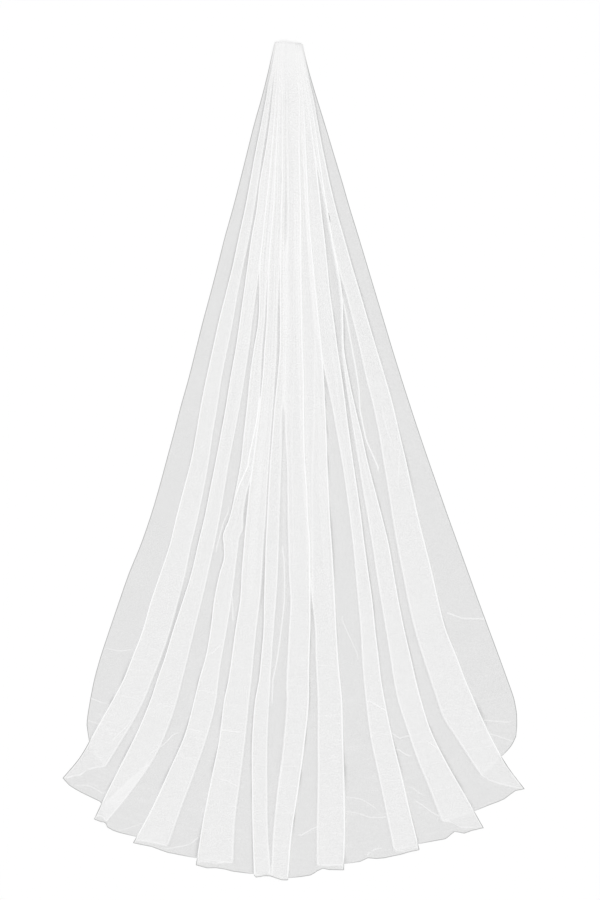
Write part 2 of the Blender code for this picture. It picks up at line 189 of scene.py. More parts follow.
# Each row is a side edge or the fold of a pleat, in the order in which the sheet runs through them. Pleats
# are numbered from the left. Pleats 1 to 5 turn over at their left fold, pleats 6 to 10 at their right
# fold. Columns: line, down at its tip, x at each of the stations, x at the four quarters between the last
# one and the tip.
stations = (0, 5, 10, 15, 20, 30, 40, 50, 60, 70, 80, 90, 100, 110, 120, 130, 140, 150, 160, 170, 180, 190,
            200, 210, 220, 228, 235)
foldLines = (
    ("left side", 244.2, -6.7, -7.9, -9, -10.2, -11.5, -14.3, -16.8, -19.3, -21.9, -24.7, -27.2, -29.8, -32.5,
     -35, -37.5, -40.3, -42.9, -45.6, -48.3, -51.3, -54.8, -58.9, -62.4, -65.8, -69.1, -71.3, -72.7, -73.1,
     -73.5, -73.8, -74),
    ("1 right", 258.9, -5, -5.9, -6.7, -7.6, -8.3, -9.6, -11.2, -12.7, -14.2, -16, -18.1, -20.1, -21.8, -23.8,
     -25.8, -27.3, -29, -30.4, -32.2, -34.3, -36.7, -38.7, -41.3, -44.1, -47.4, -50.6, -53.4, -56.3, -59.8,
     -63.4, -67.1),
    ("1 left", 263.2, -6.1, -7, -8, -9.1, -9.9, -11.8, -13.8, -15.6, -17.5, -19.7, -21.8, -24.3, -26.8, -29,
     -31.2, -33.2, -34.9, -36.8, -39.4, -42, -44.4, -47.7, -51.1, -53.9, -57.7, -60.9, -64.6, -68.6, -72.5,
     -76.7, -82.6),
    ("2 right", 278.9, -4.5, -4.9, -5.3, -5.7, -6.1, -6.8, -7.6, -8.5, -9.6, -10.8, -12.2, -13.5, -14.9,
     -16.1, -17.6, -19.3, -21.2, -23.2, -24.8, -26.5, -28.5, -30.7, -33, -35.5, -37.9, -39.9, -41.6, -45.3,
     -50.4, -58.2, -67.1),
    ("2 left", 277.9, -5.8, -6.2, -6.7, -7.2, -7.7, -8.8, -10.3, -12.1, -13.3, -15.1, -16.5, -17.9, -19.3,
     -20.8, -22.6, -24.2, -26, -27.9, -29.9, -31.9, -34.3, -36.6, -39.7, -43, -46, -48.8, -51.1, -55.5, -60.8,
     -66.2, -71.4),
    ("3 right", 287.5, -4, -4.3, -4.4, -4.6, -4.8, -5.2, -5.6, -6.2, -7, -7.8, -8.9, -9.8, -10.4, -11.3,
     -11.8, -12.4, -13.1, -14.3, -16.6, -18.2, -19.9, -21.1, -22.4, -24, -25.8, -27, -27.7, -31, -35.5, -40.4,
     -44.9),
    ("3 left", 286.4, -5.3, -5.6, -5.8, -6.1, -6.6, -7.3, -8.2, -9.1, -10.2, -11.3, -12.3, -12.3, -12.7,
     -14.3, -15.7, -16.7, -17.8, -18.9, -20.7, -22.9, -25, -26.5, -28.5, -29.7, -31.5, -33.8, -35.5, -39,
     -44.6, -50.5, -57.4),
    ("4 right", 293.6, -3.6, -3.7, -3.7, -3.8, -3.8, -3.8, -3.9, -4, -4.2, -4.5, -5, -5.5, -5.9, -6.1, -6.7,
     -7.4, -8.2, -8.9, -9.6, -10.1, -10.9, -11.4, -12.2, -13.4, -14.4, -15.1, -15.9, -17.4, -19.2, -21,
     -21.7),
    ("4 left", 294.3, -4.9, -5, -5.1, -5.3, -5.5, -6, -6.5, -7, -7.5, -8.4, -9, -9.4, -9.7, -10.5, -11.1,
     -12.2, -13.3, -14.6, -15.9, -16.9, -17.8, -18.6, -19.2, -20.8, -22.1, -23.3, -24.8, -26.7, -29.7, -32.6,
     -34.9),
    ("5 right", 297.9, -3.2, -3.2, -3.2, -3.2, -3.3, -3.4, -3.5, -3.6, -3.6, -3.4, -3.2, -3.1, -3.2, -3.3,
     -3.5, -3.9, -4.3, -4.5, -4.9, -5.2, -5.4, -5.8, -6.4, -7.2, -7.9, -8.4, -8.8, -9.5, -9.5, -9.3, -8.3),
    ("5 left", 297.9, -4.4, -4.4, -4.4, -4.4, -4.3, -4.3, -4.3, -4.3, -4.6, -4.7, -4.9, -5, -4.9, -5, -5.8,
     -6.8, -7.6, -8.4, -9, -9.5, -10, -10.3, -10.6, -10.8, -11.6, -12.4, -13.7, -14.9, -14.9, -14.7, -14.2),
    ("6 right", 299.7, 0.7, 1.1, 1.6, 2, 2.3, 2.2, 2.2, 2.5, 2.7, 2.7, 2.8, 2.9, 3.1, 3.3, 3.7, 3.7, 3.8, 4.1,
     4.8, 5.2, 5.9, 5.9, 6, 6, 5.6, 5.5, 5.5, 3.9, 1.7, -0.7, -2),
    ("6 left", 298.2, -2.4, -2.4, -2.4, -2.4, -2.4, -2.4, -2.3, -2.2, -2.1, -2.3, -2.7, -2.7, -2.7, -3, -3.1,
     -3.2, -2.9, -2.3, -2.1, -2, -1.7, -1.5, -1, -1.5, -2, -2.4, -2.4, -3.6, -5.5, -7.1, -7.9),
    ("7 right", 296.1, 1.2, 1.9, 2.5, 3.1, 3.6, 4.1, 4.5, 5, 5.5, 6.2, 7.1, 8.1, 9.1, 10.1, 10.8, 11.3, 11.8,
     12.1, 12.5, 13, 13.7, 14.3, 14.8, 15.3, 15.9, 16.6, 17.3, 17.7, 18.2, 18.4, 18),
    ("7 left", 294.3, -1.6, -1.4, -1.1, -0.9, -0.6, -0.4, -0.3, 0, 0.2, 0.5, 0.7, 0.8, 0.9, 1.1, 1.7, 2.1,
     2.5, 3, 3.5, 4.2, 4.9, 5.6, 6.7, 7.8, 8, 8.4, 8.7, 8.7, 8.7, 8.4, 8.4),
    ("8 right", 288.9, 1.8, 2.6, 3.4, 4.1, 4.9, 6.4, 7.7, 8.8, 9.9, 11.1, 12.1, 13.1, 14.5, 15.8, 17.3, 18.6,
     19.9, 21.3, 22.8, 24.2, 25.4, 26.8, 28.2, 29.2, 30.4, 31.3, 32.5, 35.3, 38.6, 41.7, 45),
    ("8 left", 288.9, -0.9, -0.4, 0.2, 0.9, 1.5, 2.4, 3.1, 3.7, 4.3, 4.9, 5.7, 6.4, 7.4, 9.5, 11.7, 13.8,
     15.6, 17.4, 18.9, 20.2, 21.4, 22.3, 23.2, 24.1, 24.6, 25.2, 25.9, 27.6, 30.4, 33.2, 35.9),
    ("9 right", 281.1, 2.3, 3.2, 4.1, 5.1, 6.1, 7.8, 9.2, 10.6, 12.2, 13.9, 15.8, 17.4, 17.8, 18.1, 19.8,
     21.9, 24.3, 26.5, 29.1, 31.7, 34.1, 35.8, 37.6, 39.6, 41.9, 43.7, 45.5, 49.2, 54.9, 61.5, 68),
    ("9 left", 278.6, 0, 0.7, 1.6, 2.5, 3.4, 5.5, 7.4, 9.6, 11.4, 13.2, 15, 16.6, 17, 17.3, 18.5, 20, 21.6,
     23.3, 24.9, 26.6, 28.3, 29.8, 31.4, 33.1, 34.7, 35.9, 37.3, 40.8, 44.5, 48.9, 53),
    ("10 right", 267.1, 2.6, 3.6, 4.8, 5.9, 7.1, 8.9, 10.8, 12.9, 15.3, 18.1, 20.9, 23.9, 26.8, 29.8, 32.8,
     35.6, 37.9, 40.3, 42.4, 44.6, 47.1, 49.6, 51.8, 54.4, 58.4, 61.4, 64.4, 68, 71.9, 76.6, 82.6),
    ("10 left", 262.1, 0.9, 1.8, 2.8, 3.9, 5, 6.8, 8.4, 10.1, 11.8, 13.6, 15.8, 18.8, 21.4, 23.8, 26, 28.5,
     30.6, 32.2, 33.9, 35.4, 37.1, 39, 41, 43.3, 46.3, 48.9, 51.2, 53.7, 58.1, 62.4, 67),
    ("right side", 245, 3.2, 4.2, 5.4, 6.8, 8.3, 11.4, 14.4, 17.4, 20.3, 23.4, 26.4, 29.4, 32.4, 35.4, 38.5,
     41.7, 45, 48.4, 51.9, 55.4, 59, 62.6, 66.2, 69.9, 73.6, 76.5, 78.9, 79.4, 79.8, 79.9, 79.9),
)

# Sharper bends of single folds between the stations: down and x of each.
bends = {
    "3 left": ((176.5, -25.3), (184.7, -25.0)),
    "3 right": ((157.5, -15.7), (174.5, -18.3), (177.0, -19.5)),
    "5 right": ((127.0, -3.6), (131.5, -4.15)),
    "6 left": ((127.0, -3.3), (131.5, -3.05)),
}

# The hem of a strip between the tips of its two edges. Strips lie between neighbouring rows of the table
# above and are counted from 0. Columns: strip, then x and down of each point.
hemLines = (
    (0, (-74, 244.2), (-73.2, 250), (-71.7, 253.5), (-68.9, 256.8), (-67.1, 258.9)),
    (1, (-67.1, 258.9), (-72.4, 259.6), (-76.4, 262.1), (-82.6, 263.2)),
    (2, (-82.6, 263.2), (-80, 266.1), (-76.4, 268.2), (-68.9, 271.8), (-67.1, 278.9)),
    (3, (-67.1, 278.9), (-67.6, 277.4), (-69.2, 276.5), (-70.6, 276.9), (-71.4, 277.9)),
    (4, (-71.4, 277.9), (-69, 278.9), (-67.3, 279), (-66.6, 280.8), (-63.9, 282.4), (-56, 284.3),
     (-44.9, 287.5)),
    (5, (-44.9, 287.5), (-47.5, 286.9), (-50.3, 286.3), (-53.3, 285.6), (-56, 285.1), (-57.4, 286.4)),
    (6, (-57.4, 286.4), (-50.3, 287.9), (-46, 289.7), (-35.3, 291.8), (-21.7, 293.6)),
    (7, (-21.7, 293.6), (-25.3, 293), (-28.5, 294), (-31.4, 292.9), (-34.4, 292.9), (-34.9, 294.3)),
    (8, (-34.9, 294.3), (-28.8, 296.1), (-27.4, 295), (-22.7, 296.5), (-14.9, 297.5), (-8.3, 297.9)),
    (10, (-14.2, 297.9), (-13.1, 299), (-11.3, 298.2), (-8.4, 298.2), (-4.1, 299.7), (-2, 299.7)),
    (12, (-7.9, 298.2), (-2, 299), (2.3, 298.6), (6.6, 297.9), (9.8, 295.4), (13, 296.1), (18, 296.1)),
    (13, (18, 296.1), (17.4, 294.1), (13, 294.5), (8.4, 294.3)),
    (14, (8.4, 294.3), (18.6, 293.9), (23.7, 293.2), (26.2, 291.8), (30.9, 292.2), (39.1, 290.4),
     (40.9, 289.7), (45, 288.9)),
    (15, (45, 288.9), (44.2, 287.7), (42.6, 288.4), (40.8, 289.6), (38.4, 289.2), (35.9, 288.9)),
    (16, (35.9, 288.9), (44.8, 286.8), (50.6, 285.7), (54.5, 285), (57, 282.5), (58.8, 282.1), (60.6, 283.2),
     (65.6, 281.4), (68, 281.1)),
    (17, (68, 281.1), (58.1, 280.7), (55.9, 278.6), (53, 278.6)),
    (18, (53, 278.6), (64.9, 275), (70.2, 272.8), (74.9, 271.1), (79.2, 267.8), (82.6, 267.1)),
    (19, (82.6, 267.1), (77.4, 266.1), (70.6, 264.3), (67, 262.1)),
    (20, (67, 262.1), (70.2, 259.3), (74.9, 255), (77.4, 252.5), (79.5, 248.9), (79.9, 245)),
)

# Creases pressed into single strips. Those that run along the veil are found by x at a given down, those
# that run across it by down at a given x. Columns: strip, run, strength, height in mm, points as x and down.
creases = (
    (6, "along", 1, 2, (-12.1, 128), (-13.1, 135.2), (-14.5, 142), (-15.7, 147.2), (-16.3, 151.6),
     (-17.6, 154.5), (-19.4, 158.4), (-20.6, 161.6), (-21.7, 164.9), (-23.6, 172.2)),
    (18, "along", 0.8, 2, (17.7, 92.3), (19.1, 99.4), (20.2, 105.8), (22.1, 115.9), (23.4, 124.4),
     (23.7, 131.6), (25.9, 142.3), (29.1, 149.5), (30.2, 152)),
    (10, "along", 0.6, 1.5, (-3.9, 181.5), (-3.4, 185.5), (-3.2, 192), (-3.3, 200), (-3.7, 204),
     (-4.9, 213.8), (-5.9, 221), (-7.4, 228.1), (-7.7, 235.3)),
    (13, "along", 0.7, 0.5, (6.9, 78), (7.3, 92.3), (7.7, 106.6), (7.5, 128), (7.1, 142.3), (6.6, 156.6),
     (6.8, 178.1), (6.9, 199.5)),
    (6, "along", 0.5, 0.5, (-22.4, 197), (-21.9, 199.5), (-21.7, 206)),
    (18, "along", 0.35, 0.5, (31.6, 131), (33.3, 138.8), (34.8, 142.6)),
    (18, "along", 0.35, 0.5, (38, 146.5), (37.6, 152), (37.2, 158)),
    (4, "along", 0.4, 0.5, (-23.2, 167.9), (-25, 171.4), (-27.6, 181.2)),
    (14, "along", 0.28, 1, (17.3, 206.7), (20.2, 213.1), (23, 219.2)),
    (2, "along", 0.22, 0.5, (-58.2, 243), (-60.8, 245.8), (-64.7, 249.4)),
    (3, "along", 0.9, 0.5, (-52.4, 258.5), (-60.3, 265.7), (-67.1, 272.1)),
    (20, "across", 0.6, 1.5, (55.6, 204.2), (59.9, 206), (68.4, 206.3)),
    (14, "across", 0.5, 1, (27.3, 235.7), (32.7, 238.9)),
    (16, "across", 0.5, 1, (48.1, 250), (51.3, 252.5)),
    (0, "across", 0.3, 1, (-66, 216.9), (-62.6, 217.8), (-57.9, 217.3)),
    (0, "across", 0.35, 1, (-72.4, 234.6), (-68.2, 236.4)),
    (0, "across", 0.3, 1, (-73.9, 242.5), (-69.2, 243.9)),
    (2, "across", 0.3, 0.5, (-77.3, 265.9), (-73, 265.7), (-68.6, 268.5)),
    (4, "across", 0.35, 0.5, (-50.4, 254), (-46.7, 251.4), (-42.4, 247.1)),
    (4, "across", 0.25, 0.5, (-63, 282), (-59.3, 281.2), (-56.3, 280.2), (-54.3, 279.4)),
    (6, "across", 0.35, 0.5, (-46.5, 288.6), (-45.3, 288.4), (-41.2, 287.8), (-38.2, 287.2), (-34.7, 285.2),
     (-33.8, 283.4)),
    (6, "across", 0.25, 0.5, (-38.8, 245.3), (-33.5, 246.4)),
    (6, "across", 0.22, 0.5, (-30.8, 219.2), (-28.6, 218.2), (-26.9, 215.9)),
    (8, "across", 0.35, 0.5, (-27, 245.7), (-20.2, 246.7)),
    (8, "across", 0.3, 0.5, (-24.7, 263.6), (-19.8, 266.4)),
    (12, "across", 0.5, 0.5, (3, 283.6), (6.6, 281.3), (8.2, 280.7)),
    (14, "across", 0.28, 0.5, (19.8, 270), (24.5, 270.7), (29.1, 273.9)),
    (14, "across", 0.32, 0.5, (18.7, 275), (23, 275.7), (28, 277.5), (32.7, 277.1)),
    (14, "across", 0.5, 0.5, (26.2, 290.9), (28, 289), (30.4, 288.2)),
    (16, "across", 0.35, 0.5, (33.8, 246.3), (37.9, 249), (40.9, 248)),
    (16, "across", 0.4, 0.5, (37.3, 252.8), (40.6, 255.2)),
    (16, "across", 0.4, 0.5, (44.5, 271.6), (48.8, 275), (52.6, 277.1)),
    (16, "across", 0.3, 0.5, (42.6, 266.4), (45.4, 269.2)),
    (20, "across", 0.35, 0.5, (68.4, 242.5), (76.3, 243.2)),
    (20, "across", 0.4, 0.5, (71.2, 247.6), (78.5, 250.1)),
)

denser = {3: 0.45}  # strips that are denser to the right of their crease along the veil

# How much lower than the highest point the gathered end starts: columns are strip and cm.
topEdge = ((0, 0.0), (1.5, 0.15), (3, 0.05), (5, 0.2), (6.5, 0.05), (8, 0.15), (9, 0.1), (10.3, 0.15),
           (10.8, 0.55), (12, 0.65), (14, 0.55), (15.5, 0.7), (17, 0.6), (19, 0.75), (20, 0.6), (21, 0.7))

stripTotal = len(foldLines) - 1
middleStrip = stripTotal // 2
middleDown = max(line[1] for line in foldLines) * cm / 2
rowsDown = np.arange(0, stations[-1] + 0.01, veil["rowStep"])
rowsDown = rowsDown * stations[-1] / rowsDown[-1]
tailParts = 1 - (1 - np.arange(1, veil["tailRows"] + 1) / veil["tailRows"]) ** veil["tailPower"]
rowTotal = len(rowsDown) + len(tailParts)
tailPart = np.concatenate((np.zeros(len(rowsDown)), tailParts))


def unit(steps):
    # the steps at a length of 1
    return steps / np.linalg.norm(steps, axis=1)[:, None]


def smoothThrough(at, knownAt, known):
    # a curve through the known points that keeps to their mean slopes
    slope = np.diff(known) / np.diff(knownAt)
    tangent = np.concatenate(([slope[0]], 0.5 * (slope[1:] + slope[:-1]), [slope[-1]]))
    left = np.clip(np.searchsorted(knownAt, at, side="right") - 1, 0, len(known) - 2)
    span = knownAt[left + 1] - knownAt[left]
    t = (at - knownAt[left]) / span
    return ((2 * t ** 3 - 3 * t ** 2 + 1) * known[left] + (t ** 3 - 2 * t ** 2 + t) * span * tangent[left]
            + (3 * t ** 2 - 2 * t ** 3) * known[left + 1] + (t ** 3 - t ** 2) * span * tangent[left + 1])


def linePath(line):
    tip = line[1]
    quarters = [stations[-1] + part * (tip - stations[-1]) for part in (0.25, 0.5, 0.75, 1.0)]
    down = np.concatenate((rowsDown, stations[-1] + tailParts * (tip - stations[-1])))
    known = np.array(sorted([*zip((*stations, *quarters), line[2:]), *bends.get(line[0], ())]), float)
    x = smoothThrough(down, known[:, 0], known[:, 1])
    return np.stack((x * cm, down * cm), axis=1)


paths = [linePath(line) for line in foldLines]
tangents = [unit(np.gradient(path, axis=0)) for path in paths]


def awayFrom(plan, line):
    # distance of each point from a fold or its tip, positive to the right of it as x runs
    spots = plan.reshape(-1, 2)
    nearest = np.linalg.norm(spots[:, None] - paths[line], axis=2).argmin(axis=1)
    step = spots - paths[line][nearest]
    tangent = tangents[line][nearest]
    aside = step[:, 0] * tangent[:, 1] - step[:, 1] * tangent[:, 0]
    past = np.where(nearest == rowTotal - 1, np.maximum((step * tangent).sum(axis=1), 0), 0)
    return np.copysign(np.hypot(aside, past), aside).reshape(plan.shape[:2])


# where the columns of a strip lie
columnPlan = {
    "edge": (3 * mm, 0.08),  # first column from a fold, and the most that this may be of the strip's width
    "inner": (9 * mm, 0.18),  # second column
    "past": 1.5 * mm,  # how far past the fold of the pleat beside it the strip starts to come down
    "settle": (9 * mm, 0.3),  # how far on it lies flat
    "pastMost": (0.84, 1.0),  # the furthest across that it starts to come down, and that it lies flat
    "middleMost": (0.42, 0.46),  # the same on the middle strip, which comes down on both sides
    "crossParts": 49,
    # columns where the strip lies flat and where it comes down, and both again for the middle strip
    "pleat": 6, "side": 9, "flat": (8, 4), "down": (3, 2),
}


def crossing(strip, line):
    # where another fold crosses the strip, as a part of its width for each row
    parts = np.linspace(0, 1, columnPlan["crossParts"])
    start, end = paths[strip][:, None], paths[strip + 1][:, None]
    away = awayFrom(start + parts[:, None] * (end - start), line)
    first = ((away[:, 1:] > 0) != (away[:, :1] > 0)).argmax(axis=1)
    before, after = away[np.arange(rowTotal), first], away[np.arange(rowTotal), first + 1]
    part = (first + np.clip(before / (before - after), 0, 1)) / (len(parts) - 1)
    for again in range(3):
        part[1:-1] = (part[:-2] + 2 * part[1:-1] + part[2:]) / 4
    return part


def columnPlaces(strip):
    # places of the strip's columns as parts of its width, one set for each row: close together at the
    # folds, and where the strip comes down off the pleat beside it
    width = np.maximum(np.hypot(*(paths[strip + 1] - paths[strip]).T), 1 * mm)
    near, nearer = (np.minimum(step / width, most) for step, most in map(columnPlan.get, ("edge", "inner")))
    middle = strip == middleStrip
    overMost, settledMost = columnPlan["middleMost"] if middle else columnPlan["pastMost"]
    settleStep, settlePart = columnPlan["settle"]

    def between(first, last, count):
        return [first + (last - first) * step / (count + 1) for step in range(1, count + 1)]

    def comingDown(part):
        # from the fold beside the strip to where the strip lies flat again
        over = np.clip(part + columnPlan["past"] / width, nearer + columnPlan["edge"][1], overMost)
        settled = over + np.minimum(settleStep / width, settlePart * (1 - nearer - over))
        return [*between(nearer, over, columnPlan["down"][middle]), over, np.minimum(settled, settledMost)]

    left, right, count = [nearer], [1 - nearer], columnPlan["flat"][middle]
    if strip % 2 == 1 or strip in (0, stripTotal - 1):
        count = columnPlan["pleat" if strip % 2 == 1 else "side"]
    else:
        if strip <= middleStrip:
            left = left + comingDown(crossing(strip, strip - 1))
        if strip >= middleStrip:
            right = [1 - part for part in reversed(comingDown(1 - crossing(strip, strip + 2)))] + right
    inner = between(left[-1], right[0], count)
    return np.stack([0 * near, near, *left, *inner, *right, 1 - near, 0 * near + 1], axis=1)


def stripPlan(strip):
    places = columnPlaces(strip)
    start = paths[strip][:, None]
    plan = start + places[:, :, None] * (paths[strip + 1][:, None] - start)
    lower = np.interp(strip + places, *np.array(topEdge).T) * cm
    plan[..., 1] += lower * np.clip(1 - plan[..., 1] / veil["topFade"], 0, 1)
    for row in hemLines:
        if row[0] != strip:
            continue
        points = np.array(row[1:]) * cm
        chord = points[-1] - points[0]
        length = np.hypot(*chord)
        along = chord / length
        square = np.array((-along[1], along[0]))
        bow = np.interp(places, (points - points[0]) @ along / length, (points - points[0]) @ square)
        plan = plan + (bow * tailPart[:, None] ** 2)[:, :, None] * square
    return places, plan


# The ground is the height that the next strip has to clear, kept on a grid of small cells.
groundPlan = {"cell": 2.5 * mm, "left": -0.88, "top": -0.03, "long": 3.10, "wide": 1.76}
cell = groundPlan["cell"]
ground = np.zeros((int(groundPlan["long"] / cell), int(groundPlan["wide"] / cell)))
combRows = slice(*(int((value * cm - groundPlan["top"]) / cell) for value in veil["combUnder"][:2]))
combColumns = slice(*(int((value * cm - groundPlan["left"]) / cell) for value in veil["combUnder"][2:4]))
ground[combRows, combColumns] = veil["combUnder"][4]


def gridCells(points):
    return (np.rint((points[..., 1] - groundPlan["top"]) / cell).astype(int),
            np.rint((points[..., 0] - groundPlan["left"]) / cell).astype(int))


halves = (slice(None, -1), slice(1, None))


def spread(table, fineRows=8, fineColumns=19):
    # a table of corners made finer inside each face
    u = np.linspace(0, 1, fineRows)[:, None]
    v = np.linspace(0, 1, fineColumns)[None, :]
    if table.ndim == 3:
        u, v = u[..., None], v[..., None]
    corners = [table[rows, columns][:, :, None, None] for rows in halves for columns in halves]
    return (corners[0] * (1 - u) * (1 - v) + corners[1] * (1 - u) * v + corners[2] * u * (1 - v)
            + corners[3] * u * v)


def ease(height, plan):
    # no steeper than the tulle comes down, first across and then along
    steps = [np.linalg.norm(np.diff(plan, axis=axis), axis=2) * veil["steepest"] for axis in (1, 0)]
    for again in range(2):
        for level, drop in ((height.T, steps[0].T), (height, steps[1])):
            for row in range(1, len(level)):
                level[row] = np.maximum(level[row], level[row - 1] - drop[row - 1])
            for row in range(len(level) - 2, -1, -1):
                level[row] = np.maximum(level[row], level[row + 1] - drop[row])


def lay(plan, relief):
    # lays a strip on the ground, raises the ground by it and gives its height at each point
    rows, columns = gridCells(spread(plan))
    faceHeight = ground[rows, columns].max(axis=(2, 3))
    height = np.zeros(plan.shape[:2])
    for down in halves:
        for right in halves:
            height[down, right] = np.maximum(height[down, right], faceHeight)
    ease(height, plan)
    needed = height.copy()
    for again in range(3):  # soften the steps without touching what lies below
        soft = height.copy()
        soft[1:-1] = (height[:-2] + 2 * height[1:-1] + height[2:]) / 4
        height = np.maximum(needed, soft)
    height = height + relief
    covered = np.zeros(ground.shape)
    np.maximum.at(covered, (rows, columns), spread(height) + veil["pitch"])
    for axis in (1, 0):
        moved = [np.roll(covered, step, axis=axis) for step in (1, -1)]
        covered = np.maximum(covered, np.maximum(*moved))
    np.maximum(ground, covered, out=ground)
    return height


creasePlan = {"along": 16 * mm, "across": 10 * mm,  # how far a crease's mark reaches to each side
              "fade": 25 * mm,  # how far past its ends it dies away
              "ridge": 5 * mm}  # half the width of its ridge


def creaseMarks(strip, plan):
    # how far each point is from the crease of its strip, how strong the crease is there and how dense the
    # sheet is beside it
    names = ("alongStrength", "alongFill", "acrossStrength", "relief")
    marks = {name: np.zeros(plan.shape[:2]) for name in names}
    for name in ("alongFrom", "acrossFrom"):
        marks[name] = np.full(plan.shape[:2], 1.0)
    for row in creases:
        if row[0] != strip:
            continue
        run, strength, height = row[1:4]
        points = np.array(row[4:]) * cm
        main, other = (1, 0) if run == "along" else (0, 1)
        place = plan[..., main]
        line = np.interp(place, points[:, main], points[:, other])
        lean = np.interp(place, points[:, main], np.gradient(points[:, other], points[:, main]))
        away = (plan[..., other] - line) / np.hypot(1, lean)
        inside = (np.clip((place - points[0, main]) / creasePlan["fade"] + 1, 0, 1)
                  * np.clip((points[-1, main] - place) / creasePlan["fade"] + 1, 0, 1))
        nearest = (inside > 0) & (np.abs(away) < np.abs(marks[run + "From"]))
        marks[run + "From"] = np.where(nearest, away, marks[run + "From"])
        near = strength * inside * (np.abs(away) < creasePlan[run])
        marks[run + "Strength"] = np.where(nearest, near, marks[run + "Strength"])
        if run == "along":
            marks["alongFill"] = np.where(nearest, denser.get(strip, 0.0) * inside, marks["alongFill"])
        marks["relief"] += height * mm * inside * np.exp(-(away / creasePlan["ridge"]) ** 2)
    return marks


def pastHem(plan, *strips):
    # how far each point lies past the hems of these strips, negative where one of them is still under it
    past = []
    for strip in strips:
        hem = plans[strip]["plan"][-1]
        hem = hem[np.argsort(hem[:, 0])]
        past.append(plan[..., 1] - np.interp(plan[..., 0], hem[:, 0], hem[:, 1]))
    return np.minimum.reduce(past)


def clearOf(strip, plan):
    # how far each point lies from the strips under it, negative where it lies on them
    clear = np.full(plan.shape[:2], veil["clearMost"])
    if strip % 2 == 1:
        clear = pastHem(plan, strip - 1 if strip < middleStrip else strip + 1)
        if strip == 1:
            clear = np.maximum(clear, -awayFrom(plan, 0))
        if strip == stripTotal - 2:
            clear = np.maximum(clear, awayFrom(plan, stripTotal))
    elif 0 < strip < stripTotal - 1:
        if strip <= middleStrip:
            off = np.maximum(awayFrom(plan, strip - 1), pastHem(plan, strip - 1, strip - 2))
            clear = np.minimum(clear, off)
        if strip >= middleStrip:
            off = np.maximum(-awayFrom(plan, strip + 2), pastHem(plan, strip + 1, strip + 2))
            clear = np.minimum(clear, off)
    return np.clip(clear, -veil["clearMost"], veil["clearMost"])


plans = {}
layOrder = list(range(middleStrip)) + list(range(stripTotal - 1, middleStrip, -1)) + [middleStrip]
for strip in layOrder:
    places, plan = stripPlan(strip)
    marks = creaseMarks(strip, plan)
    height = lay(plan, marks["relief"])
    clear = clearOf(strip, plan)
    beside = np.full(places.shape, veil["clearMost"])  # how far it is from the folds that lie over this strip
    if strip % 2 == 0:
        for line in (strip - 1, strip + 2):
            if 0 < line < stripTotal:
                beside = np.minimum(beside, np.abs(awayFrom(plan, line)))
    plans[strip] = {"places": places, "plan": plan, "height": height, "clear": clear, "beside": beside,
                    **marks}
highest = max(made["height"].max() for made in plans.values())
print(f"tulle: laid {stripTotal} strips, highest {highest / mm:.1f} mm")


def openBeside(points, outward):
    # 1 where nothing lies just outside these points
    found = ground[gridCells(points + outward * veil["rimLook"])] == 0
    soft = found.astype(float)
    for again in range(2):
        soft[1:-1] = (soft[:-2] + soft[1:-1] + soft[2:]) / 3
    return soft


def inward(fold):
    # from a fold towards the middle of the two strips that meet in it
    total = 0
    for strip, column, inner in ((fold - 1, -1, -2), (fold, 0, 1)):
        plan = plans[strip]["plan"]
        total = total + unit(plan[:, inner] - plan[:, column])
    return unit(total)


# Marks that the tulle's material reads, one value for each point of the sheet.
markNames = ("across", "foldFrom", "cutFrom", "foldRim", "cutRim", "clear", "beside", "alongFrom",
             "alongStrength", "alongFill", "acrossFrom", "acrossStrength")
far = 0.2  # the distance that stands for none near
for strip, made in plans.items():
    places, plan = made["places"], made["plan"]
    made["across"] = strip + places
    nowhere = np.full(places.shape, far)
    fromStart, fromEnd = (np.abs(awayFrom(plan, line)) for line in (strip, strip + 1))
    foldStart, sideStart = (nowhere, fromStart) if strip == 0 else (fromStart, nowhere)
    foldEnd, sideEnd = (nowhere, fromEnd) if strip == stripTotal - 1 else (fromEnd, nowhere)
    made["foldFrom"] = np.minimum(foldStart, foldEnd)
    # distance up from the hem, square to it
    hem = unit(np.gradient(plan[-1], axis=0))
    up = plan[-1][None] - plan
    square = np.abs(up[..., 0] * hem[None, :, 1] - up[..., 1] * hem[None, :, 0])
    square = np.where(up[..., 1] > veil["hemMost"], far, square)
    made["cutFrom"] = np.minimum.reduce((square, sideStart, sideEnd))
    hemOut = np.stack((-hem[:, 1], hem[:, 0]), axis=1)
    hemOut = hemOut * np.sign((hemOut * (plan[-1] - plan[-2])).sum(axis=1))[:, None]
    # cutRim and foldRim mark edges with bare floor beside them, where the material paints a shade line
    made["cutRim"] = np.repeat(openBeside(plan[-1], hemOut)[None], rowTotal, axis=0)
    # beside a side edge of the veil the floor is always bare
    for side in (sideStart, sideEnd):
        if side is not nowhere:
            made["cutRim"] = np.where(side < np.abs(up).sum(axis=2), 1.0, made["cutRim"])

inwards = {fold: inward(fold) for fold in range(1, stripTotal)}
foldOpen = {fold: openBeside(paths[fold], -inwards[fold]) for fold in inwards}
for strip, made in plans.items():
    openStart, openEnd = (foldOpen.get(fold, np.zeros(rowTotal))[:, None] for fold in (strip, strip + 1))
    made["foldRim"] = np.where(made["places"] < 0.5, openStart, openEnd)

# All the columns side by side, with the bends of the folds between the strips.
columnPoints = []
columnMarks = {name: [] for name in markNames}
flatSteps = []


def addColumn(points, marks):
    if columnPoints:
        flatSteps.append(np.linalg.norm(points - columnPoints[-1], axis=1))
    columnPoints.append(points)
    for name in markNames:
        columnMarks[name].append(marks[name])


